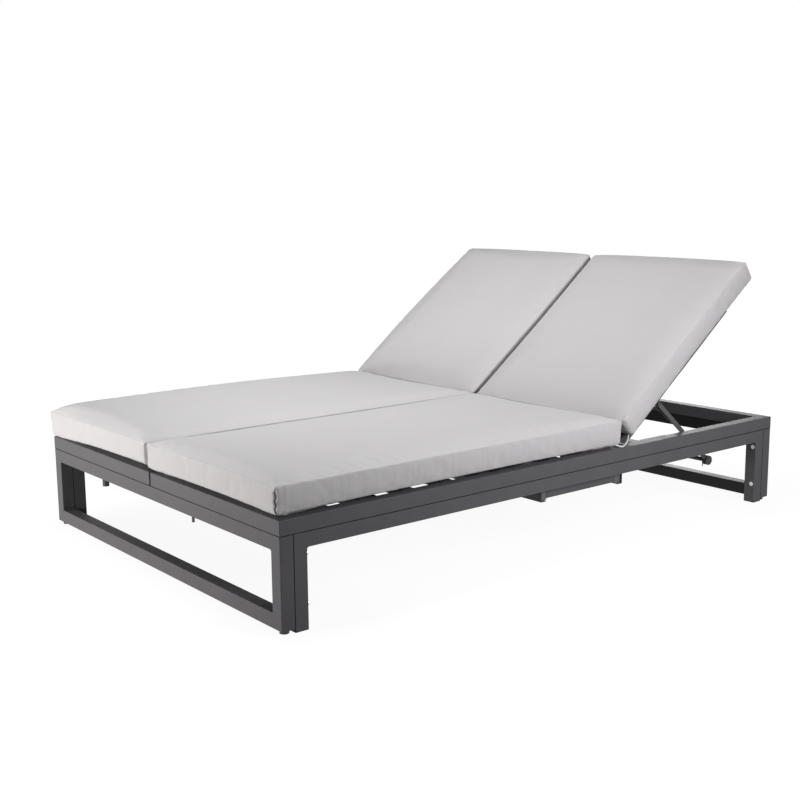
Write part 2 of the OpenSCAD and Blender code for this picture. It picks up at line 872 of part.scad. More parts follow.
module seat_cushion(x) {
    color(LINEN)
        translate([x, cushion_front_gap - half_l + seat_cushion_l / 2, deck_top + seat_gap])
            cushion(cushion_w, seat_cushion_l, seat_belly);
}

module seat_cushion_right() { seat_cushion(right_cushion_x); }

module seat_cushion_left() { seat_cushion(left_cushion_x); }

module back_cushion(x) {
    color(LINEN) at_backrest()
        translate([x, back_cushion_start + back_cushion_l / 2, slat_h / 2 + seat_gap])
            cushion(cushion_w, back_cushion_l, back_belly);
}

module back_cushion_right() { back_cushion(right_cushion_x); }

module back_cushion_left() { back_cushion(left_cushion_x); }

front_loop();
rear_loop();
side_frame_right();
side_frame_left();
cross_member_front();
cross_member_middle();
glides();
leg_caps();
corner_bolts();
rivet_nuts();
deck_bolts();
deck_nuts();
deck_knob();
deck_frame_right();
deck_frame_left();
seat_slats_right();
seat_slats_left();
hinge_rail_right();
hinge_rail_left();
rest_bar_right();
rest_bar_left();
pivot_bolts_right();
pivot_bolts_left();
pivot_washers_right();
pivot_washers_left();
rack_right();
rack_left();
tray_runners();
tray_frame_right();
tray_frame_left();
tray_panel_right();
tray_panel_left();
tray_sliders_right();
tray_sliders_left();
backrest_frame_right();
backrest_frame_left();
backrest_slats_right();
backrest_slats_left();
prop_lugs_right();
prop_lugs_left();
prop_arms_right();
prop_arms_left();
prop_pins_right();
prop_pins_left();
prop_rod_right();
prop_rod_left();
prop_sleeve_right();
prop_sleeve_left();
prop_discs_right();
prop_discs_left();
prop_nuts_right();
prop_nuts_left();
cotter_pins_right();
cotter_pins_left();
seat_cushion_right();
seat_cushion_left();
back_cushion_right();
back_cushion_left();
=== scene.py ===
"""Looks of the outdoor double daybed: powder-coated tube frame, box cushions, studio floor and light.

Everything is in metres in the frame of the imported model. Cushions are built here as boxed covers,
blown up by a short cloth simulation and given sewn seams and puckers; they replace the plain solids.
"""

import json
import math

import bmesh
import bpy
import numpy as np
from mathutils import Matrix, Vector
from mathutils.bvhtree import BVHTree


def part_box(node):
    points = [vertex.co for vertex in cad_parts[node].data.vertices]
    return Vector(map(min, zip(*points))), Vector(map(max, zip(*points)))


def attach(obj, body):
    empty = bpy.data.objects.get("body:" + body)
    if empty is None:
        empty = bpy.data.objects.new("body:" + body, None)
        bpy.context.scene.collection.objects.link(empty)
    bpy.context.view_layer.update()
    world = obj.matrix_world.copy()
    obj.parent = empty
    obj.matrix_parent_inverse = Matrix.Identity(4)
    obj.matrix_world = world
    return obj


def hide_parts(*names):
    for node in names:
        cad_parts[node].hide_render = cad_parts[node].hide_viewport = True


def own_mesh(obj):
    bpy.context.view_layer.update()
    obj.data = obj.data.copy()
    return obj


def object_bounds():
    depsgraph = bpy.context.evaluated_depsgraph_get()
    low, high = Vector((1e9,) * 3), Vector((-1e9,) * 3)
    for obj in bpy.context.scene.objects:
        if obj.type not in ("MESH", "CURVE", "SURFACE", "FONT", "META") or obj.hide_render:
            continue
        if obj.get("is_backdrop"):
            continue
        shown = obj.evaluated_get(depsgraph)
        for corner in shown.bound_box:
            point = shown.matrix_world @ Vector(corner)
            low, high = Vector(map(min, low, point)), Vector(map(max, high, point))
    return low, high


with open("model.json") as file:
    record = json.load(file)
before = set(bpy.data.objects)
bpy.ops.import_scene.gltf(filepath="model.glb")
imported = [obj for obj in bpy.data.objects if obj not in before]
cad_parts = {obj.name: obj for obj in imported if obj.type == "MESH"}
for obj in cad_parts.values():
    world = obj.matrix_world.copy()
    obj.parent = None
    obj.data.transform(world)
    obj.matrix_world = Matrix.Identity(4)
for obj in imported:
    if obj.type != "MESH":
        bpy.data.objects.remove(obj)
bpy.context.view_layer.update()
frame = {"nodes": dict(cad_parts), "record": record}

# Camera, fitted to the frame's corners in the photograph
CAMERA_AZIMUTH = math.radians(51.163)
CAMERA_ELEVATION = math.radians(10.0575)
CAMERA_ROLL = math.radians(-0.4949)
CAMERA_PLACE = Vector((2.9756, -2.4911, 1.0665))
CAMERA_LENS = 53.55
CAMERA_FAR = 60.0
SENSOR_WIDTH = 36.0

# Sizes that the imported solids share
TUBE = 0.040
HINGE = (0.0, 0.270, 0.280)
REST_ANGLE = math.radians(37.6)
BASE_TOP = 0.250
LEG_Y = 0.960
JOINT_SHADOW_W = 0.0019
CUSHION_T = 0.071
SEAT_BELLY = 0.010
BACK_BELLY = 0.002

# Cushion covers: cells of their mesh, folded edges, and what the simulation may add
CELL = 0.012
EDGE_CELL = 0.0026
CELL_GROWTH = 1.3
CORNER_R = 0.009
FOLD_R = 0.006
CROWN_ROLL = 0.019
CORNER_STAND = 0.002
PRESSURE = 4.0
CLOTH_FRAMES = 20
FACE_SWELL = 0.007
SIDE_SWELL = 0.004
PROUD = 0.006
MIDDLE_SLACK = 0.0003
SIDE_LEAN = 0.28
END_LEAN = 0.45
HEAD_FADE = 0.12
INNER_FADE = 0.016
FOOT_FADE = 0.15
FOLD_SHADE = 0.4
FOLD_SINK = 0.0045
SEAM_SHADE = 0.05

# Seams
SEAM_R = 0.0006
SEAM_DEPTH = 0.0006

# Noise scales of the finishes, in repeats to a metre
COAT_MOTTLE = 14.0
COAT_GRAIN = 900.0
COAT_PEEL = 260.0
STEEL_CLOUD = 90.0
STEEL_MARKS = 40.0
MARK_STRETCH = (60.0, 1.0, 1.0)
PLASTIC_GRAIN = 1400.0
PLASTIC_CLOUD = 40.0
SLUBS_ACROSS = (30.0, 900.0, 900.0)
SLUBS_ALONG = (900.0, 30.0, 900.0)
CANVAS_CLOUD = 5.0
CANVAS_DENTS = 45.0

# Relief of the finishes, in metres, and the radius within which an edge shows wear and a painted
# highlight
FINE_RELIEF = 0.0002
PEEL_RELIEF = 0.0005
WEAVE_RELIEF = 0.0003
SLUB_RELIEF = 0.0004
DENT_RELIEF = 0.0012
EDGE_WEAR_AND_HIGHLIGHT_R = 0.0012

UP = Vector((0.0, 0.0, 1.0))
TINY = 1e-9
SIDES = ("right", "left")
scene = bpy.context.scene
scene.view_settings.view_transform = "Standard"


def make_camera():
    camera = bpy.data.objects.new("camera", bpy.data.cameras.new("camera"))
    scene.collection.objects.link(camera)
    back = Vector((
        math.sin(CAMERA_AZIMUTH) * math.cos(CAMERA_ELEVATION),
        -math.cos(CAMERA_AZIMUTH) * math.cos(CAMERA_ELEVATION),
        math.sin(CAMERA_ELEVATION),
    ))
    level_right = (-back).cross(UP).normalized()
    level_up = level_right.cross(-back)
    right = level_right * math.cos(CAMERA_ROLL) + level_up * math.sin(CAMERA_ROLL)
    up = level_up * math.cos(CAMERA_ROLL) - level_right * math.sin(CAMERA_ROLL)
    turned = Matrix((right, up, back)).transposed().to_4x4()
    turned.translation = CAMERA_PLACE
    camera.matrix_world = turned
    camera.data.lens = CAMERA_LENS
    camera.data.sensor_width = SENSOR_WIDTH
    camera.data.clip_end = CAMERA_FAR
    scene.camera = camera


make_camera()


# Materials

class Graph:
    """A material's node tree with short calls for the nodes used here."""

    def __init__(self, name):
        self.material = bpy.data.materials.new(name)
        self.material.use_nodes = True
        self.tree = self.material.node_tree
        self.shader = self.tree.nodes["Principled BSDF"]

    def node(self, kind, inputs=None, **settings):
        made = self.tree.nodes.new(kind)
        for key, value in settings.items():
            setattr(made, key, value)
        for key, value in (inputs or {}).items():
            if isinstance(value, bpy.types.NodeSocket):
                self.tree.links.new(value, made.inputs[key])
            else:
                made.inputs[key].default_value = value
        return made

    def math(self, operation, a, b=0.0):
        return self.node("ShaderNodeMath", {0: a, 1: b}, operation=operation).outputs[0]

    def noise(self, vector, scale, detail=3.0, roughness=0.5):
        return self.node(
            "ShaderNodeTexNoise",
            {"Vector": vector, "Scale": scale, "Detail": detail, "Roughness": roughness},
        ).outputs["Fac"]

    def stretched(self, vector, *scales):
        return self.node("ShaderNodeMapping", {"Vector": vector, "Scale": scales}).outputs[0]

    def ramp(self, fac, low, high, start=0.3, end=0.7):
        made = self.node("ShaderNodeMapRange", {
            "Value": fac, "From Min": start, "From Max": end, "To Min": low, "To Max": high,
        })
        return made.outputs[0]

    def mix(self, fac, a, b):
        made = self.node("ShaderNodeMix", data_type="RGBA")
        self.tree.links.new(fac, made.inputs[0])
        for key, value in ((6, a), (7, b)):
            if isinstance(value, bpy.types.NodeSocket):
                self.tree.links.new(value, made.inputs[key])
            else:
                made.inputs[key].default_value = (*value, 1.0)
        return made.outputs[2]

    def bump(self, height, strength, distance, below=None):
        made = self.node("ShaderNodeBump", {
            "Height": height, "Strength": strength, "Distance": distance,
        })
        if below is not None:
            self.tree.links.new(below, made.inputs["Normal"])
        return made.outputs["Normal"]

    def near_plane(self, axis_value, level, half_width):
        """1 on the plane where a coordinate is level, fading to 0 at half_width from it."""
        away = self.math("ABSOLUTE", self.math("SUBTRACT", axis_value, level))
        full_width = 0.4 * half_width
        return self.ramp(away, 1.0, 0.0, full_width, half_width)

    def edge_wear_and_highlight(self, radius):
        """Rounded shading at sharp edges, and how near a point is to one."""
        soft = self.node("ShaderNodeBevel", {"Radius": radius}, samples=4).outputs[0]
        flat = self.node("ShaderNodeNewGeometry").outputs["Normal"]
        along = self.node("ShaderNodeVectorMath", {0: soft, 1: flat}, operation="DOT_PRODUCT")
        return soft, self.ramp(along.outputs["Value"], 1.0, 0.0, 0.75, 0.99)

    def set(self, **values):
        for key, value in values.items():
            socket = self.shader.inputs[key.replace("_", " ")]
            if isinstance(value, bpy.types.NodeSocket):
                self.tree.links.new(value, socket)
            else:
                socket.default_value = value
        return self.material


def shade(color, factor):
    return tuple(min(1.0, c * factor) for c in color)


def powder_coat(name, color, scale=1.0, joints=False):
    """Satin textured powder coat: mottled tone, fine grain, orange peel, and edges lightened partly by
    wear and partly by a painted highlight.

    With joints, painted shadow lines show where the rounded corners of two tubes meet.
    """
    g = Graph(name)
    place = g.node("ShaderNodeTexCoord").outputs["Object"]
    mottle = g.noise(place, COAT_MOTTLE * scale, 4.0, 0.6)
    grain = g.noise(place, COAT_GRAIN * scale, 2.0, 0.6)
    peel = g.noise(place, COAT_PEEL * scale, 2.0, 0.5)
    soft, edge = g.edge_wear_and_highlight(EDGE_WEAR_AND_HIGHLIGHT_R)
    tone = g.math("ADD", g.math("MULTIPLY", mottle, 0.65), g.math("MULTIPLY", grain, 0.35))
    base = g.mix(g.ramp(tone, 0.0, 1.0), shade(color, 0.88), shade(color, 1.13))
    # Lighter edges: partly wear of the thin coat there, partly a painted highlight along the edges
    worn_and_highlit = g.math("MULTIPLY", edge, g.ramp(mottle, 0.1, 0.6))
    base = g.mix(worn_and_highlit, base, shade(color, 1.6))
    if joints:
        # Painted shadow lines where the deck frames meet the base and where the loops' posts meet the
        # side frames
        axes = g.node("ShaderNodeSeparateXYZ", {0: place}).outputs
        level = g.near_plane(axes[2], BASE_TOP, JOINT_SHADOW_W)
        upright = g.near_plane(g.math("ABSOLUTE", axes[1]), LEG_Y, JOINT_SHADOW_W)
        upright = g.math("MULTIPLY", upright, g.math("LESS_THAN", axes[2], BASE_TOP))
        base = g.mix(g.math("MAXIMUM", level, upright), base, shade(color, 0.08))
    rough = g.ramp(g.math("ADD", g.math("MULTIPLY", mottle, 0.5), g.math("MULTIPLY", grain, 0.5)),
                   0.46, 0.60)
    relief = g.bump(grain, 0.3, FINE_RELIEF, soft)
    relief = g.bump(peel, 0.2, PEEL_RELIEF, relief)
    return g.set(Base_Color=base, Roughness=rough, Normal=relief, Metallic=0.0, IOR=1.5,
                 Specular_IOR_Level=0.18)


def plated_steel(name, color, rough_low=0.24, rough_high=0.42):
    """Small steel hardware: turning marks, a cloudy surface and dull spots."""
    g = Graph(name)
    place = g.node("ShaderNodeTexCoord").outputs["Object"]
    cloud = g.noise(place, STEEL_CLOUD, 4.0, 0.6)
    marks = g.noise(g.stretched(place, *MARK_STRETCH), STEEL_MARKS, 2.0, 0.5)
    base = g.mix(g.ramp(cloud, 0.0, 1.0), shade(color, 0.78), shade(color, 1.08))
    return g.set(Base_Color=base, Roughness=g.ramp(cloud, rough_low, rough_high), Metallic=1.0,
                 Normal=g.bump(marks, 0.2, FINE_RELIEF))


def moulded_plastic(name, color):
    """Moulded plastic with a spark-eroded grain."""
    g = Graph(name)
    place = g.node("ShaderNodeTexCoord").outputs["Object"]
    grain = g.noise(place, PLASTIC_GRAIN, 2.0, 0.5)
    cloud = g.noise(place, PLASTIC_CLOUD, 3.0, 0.5)
    base = g.mix(g.ramp(cloud, 0.0, 1.0), shade(color, 0.85), shade(color, 1.2))
    return g.set(Base_Color=base, Roughness=g.ramp(cloud, 0.5, 0.66), Metallic=0.0, IOR=1.5,
                 Normal=g.bump(grain, 0.3, FINE_RELIEF))


def canvas(name, color, pitch=0.0011):
    """Plain-woven outdoor canvas: threads both ways on every face, slubs and a soft melange.

    The mesh attribute "crease_shade" holds painted shade for the valleys of the sewn seams and of the
    deep corner fold.
    """
    g = Graph(name)
    coord = g.node("ShaderNodeTexCoord")
    place = coord.outputs["Object"]
    axes = g.node("ShaderNodeSeparateXYZ", {0: place}).outputs
    facing = g.node("ShaderNodeSeparateXYZ", {0: coord.outputs["Normal"]}).outputs
    turns = 2.0 * math.pi / pitch
    thread = [g.math("SINE", g.math("MULTIPLY", axes[k], turns)) for k in range(3)]
    weight = [g.math("MULTIPLY", facing[k], facing[k]) for k in range(3)]
    crossed = [g.math("MULTIPLY", thread[(k + 1) % 3], thread[(k + 2) % 3]) for k in range(3)]
    parts = [g.math("MULTIPLY", weight[k], crossed[k]) for k in range(3)]
    weave = g.math("ADD", g.math("ADD", parts[0], parts[1]), parts[2])
    slubs = g.math("ADD", g.noise(g.stretched(place, *SLUBS_ACROSS), 1.0, 2.0),
                   g.noise(g.stretched(place, *SLUBS_ALONG), 1.0, 2.0))
    slubs = g.math("MULTIPLY", slubs, 0.5)
    cloud = g.noise(place, CANVAS_CLOUD, 3.0, 0.55)
    tone = g.math("ADD", g.math("MULTIPLY", slubs, 0.7), g.math("MULTIPLY", cloud, 0.3))
    tone = g.math("ADD", tone, g.math("MULTIPLY", weave, 0.05))
    base = g.mix(g.ramp(tone, 0.0, 1.0), shade(color, 0.96), shade(color, 1.035))
    # Painted shade in the seam valleys and the deep corner fold, read from the mesh
    crease_shade = g.node("ShaderNodeAttribute", attribute_name="crease_shade").outputs["Fac"]
    base = g.mix(crease_shade, base, shade(color, 0.18))
    relief = g.bump(weave, 0.35, WEAVE_RELIEF)
    relief = g.bump(slubs, 0.3, SLUB_RELIEF, relief)
    relief = g.bump(g.noise(place, CANVAS_DENTS, 3.0, 0.5), 0.25, DENT_RELIEF, relief)
    return g.set(Base_Color=base, Roughness=g.ramp(slubs, 0.86, 0.96), Normal=relief,
                 Metallic=0.0, IOR=1.45, Specular_IOR_Level=0.25, Sheen_Weight=0.08,
                 Sheen_Roughness=0.5)


CHARCOAL = (0.1045, 0.1010, 0.1070)
DARK_CHARCOAL = (0.096, 0.093, 0.099)
ZINC = (0.55, 0.54, 0.53)
OXIDE = (0.085, 0.084, 0.086)
BLACK = (0.022, 0.022, 0.024)
GREY = (0.105, 0.105, 0.108)
LINEN = (0.640, 0.628, 0.632)
SEAM_LINEN = shade(LINEN, 0.88)
TIE_LINEN = shade(LINEN, 1.2)
SEAM_PITCH = 0.0009
TIE_PITCH = 0.0008

frame_coat = powder_coat("frame_coat", CHARCOAL, joints=True)
tray_coat = powder_coat("tray_coat", DARK_CHARCOAL, 1.3)
steel = plated_steel("plated_steel", ZINC)
black_oxide = plated_steel("black_oxide", OXIDE, 0.35, 0.5)
plastic = moulded_plastic("black_plastic", BLACK)
grey_plastic = moulded_plastic("grey_plastic", GREY)
linen = canvas("canvas", LINEN)
seam_linen = canvas("seam_canvas", SEAM_LINEN, SEAM_PITCH)
tie_linen = canvas("tie_webbing", TIE_LINEN, TIE_PITCH)

BY_SLOT = {
    "frame_metal": frame_coat,
    "tray_metal": tray_coat,
    "steel_hardware": steel,
    "black_plastic": plastic,
    "cushion_fabric": linen,
}
# These nodes differ from their slot's usual finish
BY_NODE = {"deck_bolts": black_oxide, "deck_nuts": black_oxide}
for side in SIDES:
    for group in ("prop_pins_", "prop_rod_", "prop_nuts_", "cotter_pins_"):
        BY_NODE[group + side] = black_oxide
    BY_NODE["tray_sliders_" + side] = grey_plastic

for part in frame["record"]["subparts"]:
    slots = frame["nodes"][part["node"]].data.materials
    slots.clear()
    slots.append(BY_NODE.get(part["node"], BY_SLOT[part["material_slot"]]))


# Mesh helpers

def new_object(name, data):
    obj = bpy.data.objects.new(name, data)
    scene.collection.objects.link(obj)
    return obj


def from_bmesh(name, mesh, smooth=True):
    data = bpy.data.meshes.new(name)
    mesh.normal_update()
    mesh.to_mesh(data)
    mesh.free()
    for polygon in data.polygons:
        polygon.use_smooth = smooth
    return new_object(name, data)


def joined(name, pieces):
    """One object from several, their meshes kept as they are in the world."""
    mesh = bmesh.new()
    for piece in pieces:
        piece.data.transform(piece.matrix_world)
        mesh.from_mesh(piece.data)
        bpy.data.objects.remove(piece)
    return from_bmesh(name, mesh)


def body_of_node(node):
    for body, nodes in frame["record"]["behaviour"]["bodies"].items():
        if node in nodes:
            return body


def swept(name, path, outline, across=None, closed=False):
    """A closed outline of (sideways, upwards) points swept along a path.

    across keeps the outline's first direction near one axis, as a flat tape lies.
    """
    points = [Vector(p) for p in path]
    n = len(points)
    mesh = bmesh.new()
    rings = []
    first = Vector(across) if across else None
    for i, p in enumerate(points):
        before = points[(i - 1) % n] if closed or i > 0 else p
        after = points[(i + 1) % n] if closed or i < n - 1 else p
        tangent = (after - before).normalized()
        if first is None:
            first = tangent.orthogonal()
        first = (first - tangent * first.dot(tangent)).normalized()
        second = tangent.cross(first)
        rings.append([mesh.verts.new(p + first * a + second * b) for a, b in outline])
    count = len(outline)
    for i in range(n if closed else n - 1):
        one, two = rings[i], rings[(i + 1) % n]
        for k in range(count):
            mesh.faces.new((one[k], one[(k + 1) % count], two[(k + 1) % count], two[k]))
    if not closed:
        mesh.faces.new(rings[0][::-1])
        mesh.faces.new(rings[-1])
    return from_bmesh(name, mesh)


def round_outline(radius, sides=6):
    return [(radius * math.cos(a), radius * math.sin(a))
            for a in (2 * math.pi * k / sides for k in range(sides))]


def curve_through(points, steps=8):
    """A smooth path through points."""
    points = [Vector(p) for p in points]
    ends = [points[0] * 2 - points[1]] + points + [points[-1] * 2 - points[-2]]
    path = []
    for a, b, c, d in zip(ends, ends[1:], ends[2:], ends[3:]):
        for k in range(steps):
            t = k / steps
            path.append(0.5 * (2 * b + (c - a) * t + (2 * a - 5 * b + 4 * c - d) * t ** 2
                               + (3 * b - a - 3 * c + d) * t ** 3))
    return path + [points[-1]]


# Cushions

def graded(length):
    """Places from 0 to 1 along a length: fine cells near both ends, wide ones between."""
    steps = [EDGE_CELL]
    while steps[-1] * CELL_GROWTH < CELL and sum(steps) < 0.4 * length:
        steps.append(steps[-1] * CELL_GROWTH)
    middle = length - 2 * sum(steps)
    count = max(1, round(middle / CELL))
    cells = steps + [middle / count] * count + steps[::-1]
    return np.concatenate([[0.0], np.cumsum(cells)]) / length


def lattice(size):
    """The surface of a box of graded cells: places from 0 to 1, faces, and the vertex at each key."""
    places = [graded(length) for length in size]
    last = [len(p) - 1 for p in places]
    index = {}
    unit = []
    faces = []

    def vertex(key):
        if key not in index:
            index[key] = len(unit)
            unit.append([places[k][key[k]] for k in range(3)])
        return index[key]

    for axis in range(3):
        u, v = (axis + 1) % 3, (axis + 2) % 3
        for side in (0, last[axis]):
            for i in range(last[u]):
                for j in range(last[v]):
                    loop = []
                    for di, dj in ((0, 0), (1, 0), (1, 1), (0, 1)):
                        key = [0, 0, 0]
                        key[axis], key[u], key[v] = side, i + di, j + dj
                        loop.append(vertex(tuple(key)))
                    faces.append(loop if side else loop[::-1])
    return np.array(unit), faces, index, last


def seam_lines(index, last):
    """The vertices along both edges of the boxing, and down its four corners."""
    nx, ny, nz = last
    around = [(i, 0) for i in range(nx)]
    around += [(nx, j) for j in range(ny)]
    around += [(i, ny) for i in range(nx, 0, -1)]
    around += [(0, j) for j in range(ny, 0, -1)]
    loops = [[index[(i, j, k)] for i, j in around] for k in (0, nz)]
    posts = [[index[(i, j, k)] for k in range(nz + 1)] for i in (0, nx) for j in (0, ny)]
    return loops, posts


# How many sines a noise adds up, and the size of their sum
RIPPLE_SINES = 8
RIPPLE_SUM = 3.2
WAVE_SINES = 9
WAVE_SUM = 4.5


def ripple(along, scale, seed):
    """Smooth noise from about -1 to 1 along one direction, the same on every run."""
    random = np.random.default_rng(seed)
    total = np.zeros_like(along)
    for _ in range(RIPPLE_SINES):
        total += np.sin(along * random.uniform(0.6, 1.7) * (2 * math.pi / scale)
                        + random.uniform(0, 2 * math.pi))
    return total / RIPPLE_SUM


def waves(points, scale, seed):
    """Smooth noise from about -1 to 1 in space, the same on every run."""
    random = np.random.default_rng(seed)
    total = np.zeros(len(points))
    for _ in range(WAVE_SINES):
        direction = random.normal(size=3)
        direction *= random.uniform(0.6, 1.5) / np.linalg.norm(direction)
        total += np.sin(points @ direction * (2 * math.pi / scale) + random.uniform(0, 2 * math.pi))
    return total / WAVE_SUM


class Cushion:
    """One box cushion, in its own frame: X across, Y along, Z up, its underside at Z = 0.

    inward: the direction along X of the other cushion.
    corner_r: radius of the upright corners.
    drawn: how far the middles of its sides and of its ends are drawn in.
    full: how far its low and its high end stand out at the top.
    bulge, puff: how far its outer side stands out and up, all along.
    swell: how far the middle of its outer edge stands out and up besides, and how fast that fades.
    head_rim: rise of the top at its high end.
    inner_roll: fall of the top at its inner edge.
    tuck: how far its inner side keeps from the middle line; below 0 it stands over the line.
    hollow: how far the inner side goes in below its top edge.
    drop: rise of the foot end's underside at its left and its right corner.
    deep_corner: the corner, as signs of X and Y, with an upright fold, or None.
    """

    def __init__(self, name, node, size, belly, crown, place, inward, seed, corner_r=CORNER_R,
                 drawn=(0.005, 0.005), full=(0.0, 0.0), bulge=0.0, puff=0.0, swell=(0.0, 0.0, 0.0),
                 head_rim=0.0, inner_roll=0.0, tuck=0.0, hollow=0.0, drop=(0.0, 0.0),
                 deep_corner=None):
        self.name, self.node = name, node
        self.side = node.rsplit("_", 1)[1]
        self.size = np.array(size)
        self.half = self.size / 2
        self.belly, self.crown = belly, crown
        self.place = place
        self.inward, self.seed = inward, seed
        self.corner_r, self.drawn, self.full = corner_r, drawn, full
        self.bulge, self.puff, self.swell = bulge, puff, swell
        self.head_rim, self.inner_roll, self.tuck = head_rim, inner_roll, tuck
        self.hollow, self.drop, self.deep_corner = hollow, drop, deep_corner
        self.unit, self.faces, index, last = lattice(size)
        self.loops, self.posts = seam_lines(index, last)
        self.obj = self.make()

    def shape(self):
        """Folded edges, sides drawn in between the corners and a crowned top, as photographed."""
        signed = 2 * self.unit - 1
        half = self.half
        box = signed * half
        radius = np.array([self.corner_r, self.corner_r, FOLD_R])
        core = np.clip(box, radius - half, half - radius)
        off = (box - core) / radius
        off *= (np.abs(off).max(1) / np.maximum(np.linalg.norm(off, axis=1), TINY))[:, None]
        x, y, z = (core + off * radius).T
        sx, sy, sz = signed.T
        # The corners stand out a little, and the sides are drawn in between them
        x = x + np.sign(sx) * (CORNER_STAND - self.drawn[0] * (1 - sy ** 2)) * np.abs(sx) ** 4
        y = y + np.sign(sy) * (CORNER_STAND - self.drawn[1] * (1 - sx ** 2)) * np.abs(sy) ** 4
        stand = np.where(sy > 0, self.full[1], -self.full[0])
        y = y + stand * sy ** 4 * (1 - END_LEAN + END_LEAN * sz)
        # The outer side stands out, and the inner one keeps its distance from the other cushion
        outer = np.clip((1 - self.inward * sx) / 2, 0, 1)
        inner = 1 - outer
        along = 1 - self.swell[2] * (sy + 0.1) ** 2
        side_out = (self.bulge + self.swell[0] * along) * outer ** 4
        x = x - self.inward * side_out * (1 - SIDE_LEAN + SIDE_LEAN * sz)
        x = x - self.inward * (self.tuck + self.hollow * (1 - sz ** 6)) * inner ** 6
        # A crown on top and a belly below, both rolling off towards the edges
        rise = [1 - np.exp(-(1 - np.abs(s)) * h / CROWN_ROLL) for s, h in ((sx, half[0]), (sy, half[1]))]
        z = z + (self.crown + self.puff * outer) * rise[0] * rise[1] * np.clip(sz, 0, 1) ** 3
        z = z - self.belly * np.clip(1.3 * rise[0] * rise[1], 0, 1) * np.clip(-sz, 0, 1) ** 3
        # What single edges do besides
        top = np.clip(sz, 0, 1)
        z = z + self.swell[1] * along * outer ** 1.5 * top
        z = z + self.head_rim * (1 - sx ** 4) * np.exp(-(1 - sy) * half[1] / HEAD_FADE) * top
        z = z - self.inner_roll * np.exp(-outer * 2 * half[0] / INNER_FADE) * top ** 2
        foot = np.exp(-(sy + 1) * half[1] / FOOT_FADE)
        z = z + np.interp(sx, (-1, 1), self.drop) * foot * (1 - sz) / 2
        return np.stack([x, y, z + self.half[2] + self.belly], 1)

    def make(self):
        mesh = bpy.data.meshes.new(self.name)
        mesh.from_pydata(self.shape().tolist(), [], self.faces)
        mesh.update()
        obj = new_object(self.name, mesh)
        obj.matrix_world = self.place
        seam = obj.vertex_groups.new(name="seam")
        seam.add([i for line in self.loops + self.posts for i in line], 1.0, "REPLACE")
        return obj

    def coords(self):
        return np.array([v.co for v in self.obj.data.vertices])

    def set_coords(self, points):
        self.obj.data.vertices.foreach_set("co", points.astype(np.float32).ravel())
        self.obj.data.update()

    def normals(self):
        return np.array([v.normal for v in self.obj.data.vertices])


CLOTH = {
    "quality": 5,
    "mass": 0.3,
    "tension_stiffness": 25.0,
    "compression_stiffness": 25.0,
    "shear_stiffness": 10.0,
    "bending_stiffness": 0.6,
    "use_pressure": True,
    "uniform_pressure_force": PRESSURE,
    "vertex_group_mass": "seam",
    "pin_stiffness": 1.0,
    "shrink_min": -0.005,
    "shrink_max": -0.005,
}


def blow_up(cushions):
    """Short cloth simulation of all covers at once: pressure inside, seams held, no gravity."""
    start = [c.coords() for c in cushions]
    for c in cushions:
        cloth = c.obj.modifiers.new("Cloth", "CLOTH")
        for key, value in CLOTH.items():
            setattr(cloth.settings, key, value)
        cloth.settings.effector_weights.gravity = 0.0
        cloth.point_cache.frame_start = 1
        cloth.point_cache.frame_end = CLOTH_FRAMES
        cloth.collision_settings.use_collision = False
    for step in range(1, CLOTH_FRAMES + 1):
        scene.frame_set(step)
    graph = bpy.context.evaluated_depsgraph_get()
    for c, before in zip(cushions, start):
        upright = np.abs(c.normals()[:, 2])
        blown = c.obj.evaluated_get(graph).to_mesh()
        after = np.array([v.co for v in blown.vertices])
        c.obj.evaluated_get(graph).to_mesh_clear()
        c.obj.modifiers.clear()
        moved = after - before
        far = np.linalg.norm(moved, axis=1)
        cap = SIDE_SWELL + (FACE_SWELL - SIDE_SWELL) * upright
        keep = cap * np.tanh(far / cap) / np.maximum(far, TINY)
        c.set_coords(before + moved * keep[:, None])
        print(c.name, "swell up to", round(float(far.max()), 4))
    scene.frame_set(1)


def subdivided(obj):
    """Applies one subdivision and returns how much each vertex belongs to a seam, from 0 to 1."""
    obj.modifiers.new("Subdivision", "SUBSURF").levels = 1
    graph = bpy.context.evaluated_depsgraph_get()
    finer = bpy.data.meshes.new_from_object(obj.evaluated_get(graph))
    obj.modifiers.clear()
    old = obj.data
    obj.data = finer
    bpy.data.meshes.remove(old)
    seam = np.array([sum(group.weight for group in v.groups) for v in finer.vertices])
    obj.vertex_groups.clear()
    return seam


# Folds of the covers: how far apart they lie, how high they are and how soon they fade, in metres
FINE_FOLD = 0.026
FINE_PATCH = 0.17
BROAD_FOLD = 0.075
FOLD_HIGH = 0.0003
FOLD_AT_SEAM = 0.0006
BROAD_HIGH = 0.0002
TOP_FOLD_HIGH = 0.0005
SEAM_FADE = 0.016
TOP_FADE = 0.020
SLOW_WAVE = 0.36
SLOW_HIGH = 0.0010
SMALL_WAVE = 0.08
SMALL_HIGH = 0.0002
PUCKER = 0.022
PUCKER_HIGH = 0.0008
PUCKER_FADE = 0.014
PUCKER_CLEAR = 0.004

# The upright fold of a corner that isn't filled out
FOLD_WANDER = 0.0016
FOLD_WANDER_SCALE = 0.030
FOLD_WIDE = 0.0030
FOLD_WIDE_CHANGE = 0.0010
FOLD_WIDE_SCALE = 0.022
FOLD_REACH = 0.030
FOLD_TOP_CLEAR = 0.004
FOLD_TOP_FADE = 0.012
FOLD_LOW_REACH = 0.002
FOLD_LOW_FADE = 0.006


